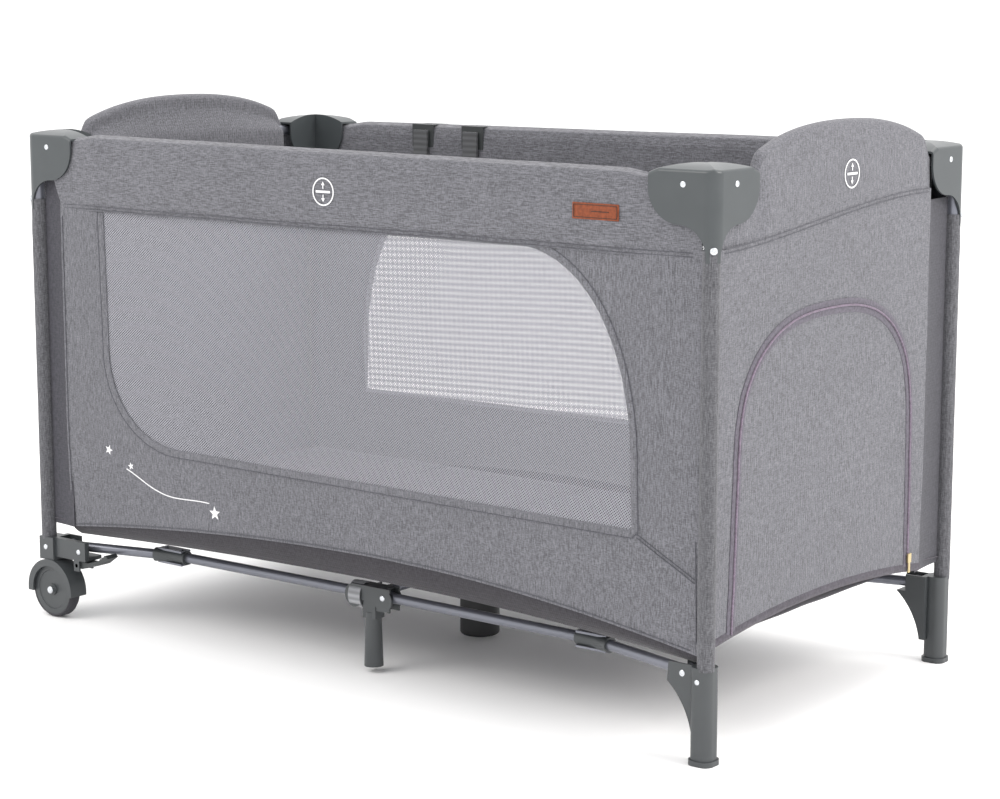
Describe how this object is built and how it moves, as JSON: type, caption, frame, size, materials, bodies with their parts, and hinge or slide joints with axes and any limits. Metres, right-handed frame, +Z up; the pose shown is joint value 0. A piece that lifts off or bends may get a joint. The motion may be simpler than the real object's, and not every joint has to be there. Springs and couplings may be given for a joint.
{
  "type": "folding travel cot",
  "caption": "Rectangular folding travel cot with fabric walls, netting windows, arched ends, a zip door, corner caps, two wheels and a padded base board.",
  "frame": {"origin": "on the floor under the middle of the bounding box, wheels included", "axes": "+X along the length towards the door end, +Y from the front long side to the rear, +Z up"},
  "size_m": [1.275, 0.65, 0.805],
  "materials": {
    "cap_plastic": "satin moulded",
    "foot_plastic": "satin moulded",
    "tube_metal": "satin silver-grey powder coat",
    "lock_plastic": "moulded",
    "button_plastic": "moulded",
    "pin_steel": "plated rivet",
    "wheel_plastic": "moulded",
    "tyre_rubber": "moulded tread",
    "lever_plastic": "ribbed",
    "hub_plastic": "moulded",
    "wall_fabric": "melange woven polyester",
    "door_fabric": "melange woven polyester",
    "window_mesh": "open polyester netting",
    "floor_fabric": "woven polyester",
    "board_fabric": "padded woven polyester",
    "zip_metal": "plated slider",
    "clip_plastic": "ribbed"
  },
  "bodies": {
    "front_right_corner": {"corner_cap_front_right": "cap_plastic", "post_front_right": "tube_metal", "fasteners_front_right": "pin_steel", "foot_front_right": "foot_plastic", "wall_front": "wall_fabric", "window_mesh_front": "window_mesh", "wall_right": "wall_fabric", "floor_sheet": "floor_fabric"},
    "front_rail_right": {"front_rail_right": "tube_metal"},
    "front_lock": {"rail_lock_front": "lock_plastic"},
    "front_button": {"release_button_front": "button_plastic"},
    "front_rail_left": {"front_rail_left": "tube_metal"},
    "front_left_corner": {"corner_cap_front_left": "cap_plastic", "post_front_left": "tube_metal", "fasteners_front_left": "pin_steel", "wheel_bracket_front_left": "foot_plastic", "wall_left": "wall_fabric"},
    "front_wheel": {"wheel_disc_front_left": "wheel_plastic", "tyre_front_left": "tyre_rubber"},
    "front_brake": {"brake_lever_front_left": "lever_plastic"},
    "right_rail_front": {"right_rail_front": "tube_metal"},
    "right_lock": {"rail_lock_right": "lock_plastic"},
    "right_button": {"release_button_right": "button_plastic"},
    "right_rail_rear": {"right_rail_rear": "tube_metal"},
    "rear_right_corner": {"corner_cap_rear_right": "cap_plastic", "post_rear_right": "tube_metal", "fasteners_rear_right": "pin_steel", "foot_rear_right": "foot_plastic", "wall_rear": "wall_fabric", "window_mesh_rear": "window_mesh"},
    "left_rail_front": {"left_rail_front": "tube_metal"},
    "left_lock": {"rail_lock_left": "lock_plastic"},
    "left_button": {"release_button_left": "button_plastic"},
    "left_rail_rear": {"left_rail_rear": "tube_metal"},
    "rear_left_corner": {"corner_cap_rear_left": "cap_plastic", "post_rear_left": "tube_metal", "fasteners_rear_left": "pin_steel", "wheel_bracket_rear_left": "foot_plastic"},
    "rear_wheel": {"wheel_disc_rear_left": "wheel_plastic", "tyre_rear_left": "tyre_rubber"},
    "rear_brake": {"brake_lever_rear_left": "lever_plastic"},
    "rear_rail_right": {"rear_rail_right": "tube_metal"},
    "rear_lock": {"rail_lock_rear": "lock_plastic"},
    "rear_button": {"release_button_rear": "button_plastic"},
    "rear_rail_left": {"rear_rail_left": "tube_metal", "rail_clips": "clip_plastic"},
    "front_base_right": {"base_half_front_right": "tube_metal"},
    "front_mid_bracket": {"mid_bracket_front": "foot_plastic"},
    "front_base_left": {"base_half_front_left": "tube_metal"},
    "rear_base_right": {"base_half_rear_right": "tube_metal"},
    "rear_mid_bracket": {"mid_bracket_rear": "foot_plastic"},
    "rear_base_left": {"base_half_rear_left": "tube_metal"},
    "cross_front": {"cross_tube_front": "tube_metal"},
    "hub": {"hub": "hub_plastic"},
    "cross_rear": {"cross_tube_rear": "tube_metal"},
    "right_board": {"base_board_right": "board_fabric"},
    "left_board": {"base_board_left": "board_fabric"},
    "door": {"door_flap": "door_fabric"},
    "zip_slider": {"zip_slider": "zip_metal"}
  },
  "joints": [
    {"name": "fold", "type": "hinge", "parent": "front_right_corner", "child": "front_rail_right", "pos_m": [0.5895, -0.305, 0.735], "axis": [0, -1, 0], "range_deg": [0, 86], "deforming": ["wall_front", "wall_rear", "wall_left", "wall_right", "window_mesh_front", "window_mesh_rear", "floor_sheet", "base_board_right", "base_board_left", "door_flap"]},
    {"name": "front_lock_right_pin", "type": "hinge", "parent": "front_rail_right", "child": "front_lock", "pos_m": [0.0395, -0.305, 0.735], "axis": [0, 1, 0], "range_deg": [0, 86.01]},
    {"name": "front_lock_left_pin", "type": "hinge", "parent": "front_lock", "child": "front_rail_left", "pos_m": [-0.0145, -0.305, 0.735], "axis": [0, 1, 0], "range_deg": [0, 86.01]},
    {"name": "front_left_pivot", "type": "hinge", "parent": "front_rail_left", "child": "front_left_corner", "pos_m": [-0.5645, -0.305, 0.735], "axis": [0, -1, 0], "range_deg": [0, 86.01]},
    {"name": "right_front_pivot", "type": "hinge", "parent": "front_right_corner", "child": "right_rail_front", "pos_m": [0.6175, -0.277, 0.735], "axis": [-1, 0, 0], "range_deg": [0, 78.01]},
    {"name": "right_lock_front_pin", "type": "hinge", "parent": "right_rail_front", "child": "right_lock", "pos_m": [0.6175, -0.027, 0.735], "axis": [1, 0, 0], "range_deg": [0, 78.01]},
    {"name": "right_lock_rear_pin", "type": "hinge", "parent": "right_lock", "child": "right_rail_rear", "pos_m": [0.6175, 0.027, 0.735], "axis": [1, 0, 0], "range_deg": [0, 78.01]},
    {"name": "right_rear_pivot", "type": "hinge", "parent": "right_rail_rear", "child": "rear_right_corner", "pos_m": [0.6175, 0.277, 0.735], "axis": [-1, 0, 0], "range_deg": [0, 78.01]},
    {"name": "left_front_pivot", "type": "hinge", "parent": "front_left_corner", "child": "left_rail_front", "pos_m": [-0.5925, -0.277, 0.735], "axis": [-1, 0, 0], "range_deg": [0, 78.01]},
    {"name": "left_lock_front_pin", "type": "hinge", "parent": "left_rail_front", "child": "left_lock", "pos_m": [-0.5925, -0.027, 0.735], "axis": [1, 0, 0], "range_deg": [0, 78.01]},
    {"name": "left_lock_rear_pin", "type": "hinge", "parent": "left_lock", "child": "left_rail_rear", "pos_m": [-0.5925, 0.027, 0.735], "axis": [1, 0, 0], "range_deg": [0, 78.01]},
    {"name": "left_rear_pivot", "type": "hinge", "parent": "left_rail_rear", "child": "rear_left_corner", "pos_m": [-0.5925, 0.277, 0.735], "axis": [-1, 0, 0], "range_deg": [0, 78.01]},
    {"name": "rear_right_pivot", "type": "hinge", "parent": "rear_right_corner", "child": "rear_rail_right", "pos_m": [0.5895, 0.305, 0.735], "axis": [0, -1, 0], "range_deg": [0, 86.01]},
    {"name": "rear_lock_right_pin", "type": "hinge", "parent": "rear_rail_right", "child": "rear_lock", "pos_m": [0.0395, 0.305, 0.735], "axis": [0, 1, 0], "range_deg": [0, 86.01]},
    {"name": "rear_lock_left_pin", "type": "hinge", "parent": "rear_lock", "child": "rear_rail_left", "pos_m": [-0.0145, 0.305, 0.735], "axis": [0, 1, 0], "range_deg": [0, 86.01]},
    {"name": "front_base_pivot", "type": "hinge", "parent": "front_right_corner", "child": "front_base_right", "pos_m": [0.5895, -0.3, 0.115], "axis": [0, 1, 0], "range_deg": [0, 86.01]},
    {"name": "front_mid_right_pin", "type": "hinge", "parent": "front_base_right", "child": "front_mid_bracket", "pos_m": [0.0395, -0.245, 0.115], "axis": [0, -1, 0], "range_deg": [0, 86.01]},
    {"name": "front_mid_left_pin", "type": "hinge", "parent": "front_mid_bracket", "child": "front_base_left", "pos_m": [-0.0145, -0.245, 0.115], "axis": [0, -1, 0], "range_deg": [0, 86.01]},
    {"name": "rear_base_pivot", "type": "hinge", "parent": "rear_right_corner", "child": "rear_base_right", "pos_m": [0.5895, 0.3, 0.115], "axis": [0, 1, 0], "range_deg": [0, 86.01]},
    {"name": "rear_mid_right_pin", "type": "hinge", "parent": "rear_base_right", "child": "rear_mid_bracket", "pos_m": [0.0395, 0.245, 0.115], "axis": [0, -1, 0], "range_deg": [0, 86.01]},
    {"name": "rear_mid_left_pin", "type": "hinge", "parent": "rear_mid_bracket", "child": "rear_base_left", "pos_m": [-0.0145, 0.245, 0.115], "axis": [0, -1, 0], "range_deg": [0, 86.01]},
    {"name": "cross_front_pin", "type": "hinge", "parent": "front_mid_bracket", "child": "cross_front", "pos_m": [0.0125, -0.223, 0.115], "axis": [-1, 0, 0], "range_deg": [0, 88.05]},
    {"name": "hub_front_pin", "type": "hinge", "parent": "cross_front", "child": "hub", "pos_m": [0.0125, -0.018, 0.115], "axis": [1, 0, 0], "range_deg": [0, 88.05]},
    {"name": "hub_rear_pin", "type": "hinge", "parent": "hub", "child": "cross_rear", "pos_m": [0.0125, 0.018, 0.115], "axis": [1, 0, 0], "range_deg": [0, 88.05]},
    {"name": "right_board_lift", "type": "hinge", "parent": "front_right_corner", "child": "right_board", "pos_m": [0.6025, 0, 0.165], "axis": [0, 1, 0], "range_deg": [0, 86.01]},
    {"name": "left_board_lift", "type": "hinge", "parent": "front_left_corner", "child": "left_board", "pos_m": [-0.5775, 0, 0.165], "axis": [0, -1, 0], "range_deg": [0, 86.01]},
    {"name": "front_button_press", "type": "slide", "parent": "front_lock", "child": "front_button", "axis": [0, 1, 0], "range_m": [0, 0.005], "stiffness_N_per_m": 400, "springref_m": -0.002},
    {"name": "rear_button_press", "type": "slide", "parent": "rear_lock", "child": "rear_button", "axis": [0, -1, 0], "range_m": [0, 0.005], "stiffness_N_per_m": 400, "springref_m": -0.002},
    {"name": "right_button_press", "type": "slide", "parent": "right_lock", "child": "right_button", "axis": [-1, 0, 0], "range_m": [0, 0.005], "stiffness_N_per_m": 400, "springref_m": -0.002},
    {"name": "left_button_press", "type": "slide", "parent": "left_lock", "child": "left_button", "axis": [1, 0, 0], "range_m": [0, 0.005], "stiffness_N_per_m": 400, "springref_m": -0.002},
    {"name": "front_wheel_spin", "type": "hinge", "parent": "front_left_corner", "child": "front_wheel", "pos_m": [-0.5885, -0.3095, 0.044], "axis": [0, 1, 0], "continuous": true},
    {"name": "front_brake_press", "type": "hinge", "parent": "front_left_corner", "child": "front_brake", "pos_m": [-0.5325, -0.303, 0.09], "axis": [0, 1, 0], "range_deg": [0, 12]},
    {"name": "rear_wheel_spin", "type": "hinge", "parent": "rear_left_corner", "child": "rear_wheel", "pos_m": [-0.5885, 0.3095, 0.044], "axis": [0, 1, 0], "continuous": true},
    {"name": "rear_brake_press", "type": "hinge", "parent": "rear_left_corner", "child": "rear_brake", "pos_m": [-0.5325, 0.303, 0.09], "axis": [0, 1, 0], "range_deg": [0, 12]},
    {"name": "door_open", "type": "hinge", "parent": "front_right_corner", "child": "door", "pos_m": [0.6335, -0.039, 0.166], "axis": [0, 1, 0], "range_deg": [0, 112]},
    {"name": "zip_slide", "type": "slide", "parent": "rear_right_corner", "child": "zip_slider", "axis": [0, 0, 1], "range_m": [0, 0.225]}
  ],
  "couplings": [
    {"joint": "front_lock_right_pin", "follows": "fold", "ratio": 1},
    {"joint": "front_lock_left_pin", "follows": "fold", "ratio": 1},
    {"joint": "front_left_pivot", "follows": "fold", "ratio": 1},
    {"joint": "right_front_pivot", "follows": "fold", "ratio": 0.907},
    {"joint": "right_lock_front_pin", "follows": "fold", "ratio": 0.907},
    {"joint": "right_lock_rear_pin", "follows": "fold", "ratio": 0.907},
    {"joint": "right_rear_pivot", "follows": "fold", "ratio": 0.907},
    {"joint": "left_front_pivot", "follows": "fold", "ratio": 0.907},
    {"joint": "left_lock_front_pin", "follows": "fold", "ratio": 0.907},
    {"joint": "left_lock_rear_pin", "follows": "fold", "ratio": 0.907},
    {"joint": "left_rear_pivot", "follows": "fold", "ratio": 0.907},
    {"joint": "rear_right_pivot", "follows": "fold", "ratio": 1},
    {"joint": "rear_lock_right_pin", "follows": "fold", "ratio": 1},
    {"joint": "rear_lock_left_pin", "follows": "fold", "ratio": 1},
    {"joint": "front_base_pivot", "follows": "fold", "ratio": 1},
    {"joint": "front_mid_right_pin", "follows": "fold", "ratio": 1},
    {"joint": "front_mid_left_pin", "follows": "fold", "ratio": 1},
    {"joint": "rear_base_pivot", "follows": "fold", "ratio": 1},
    {"joint": "rear_mid_right_pin", "follows": "fold", "ratio": 1},
    {"joint": "rear_mid_left_pin", "follows": "fold", "ratio": 1},
    {"joint": "cross_front_pin", "follows": "fold", "ratio": 1.0237},
    {"joint": "hub_front_pin", "follows": "fold", "ratio": 1.0237},
    {"joint": "hub_rear_pin", "follows": "fold", "ratio": 1.0237},
    {"joint": "right_board_lift", "follows": "fold", "ratio": 1},
    {"joint": "left_board_lift", "follows": "fold", "ratio": 1}
  ]
}
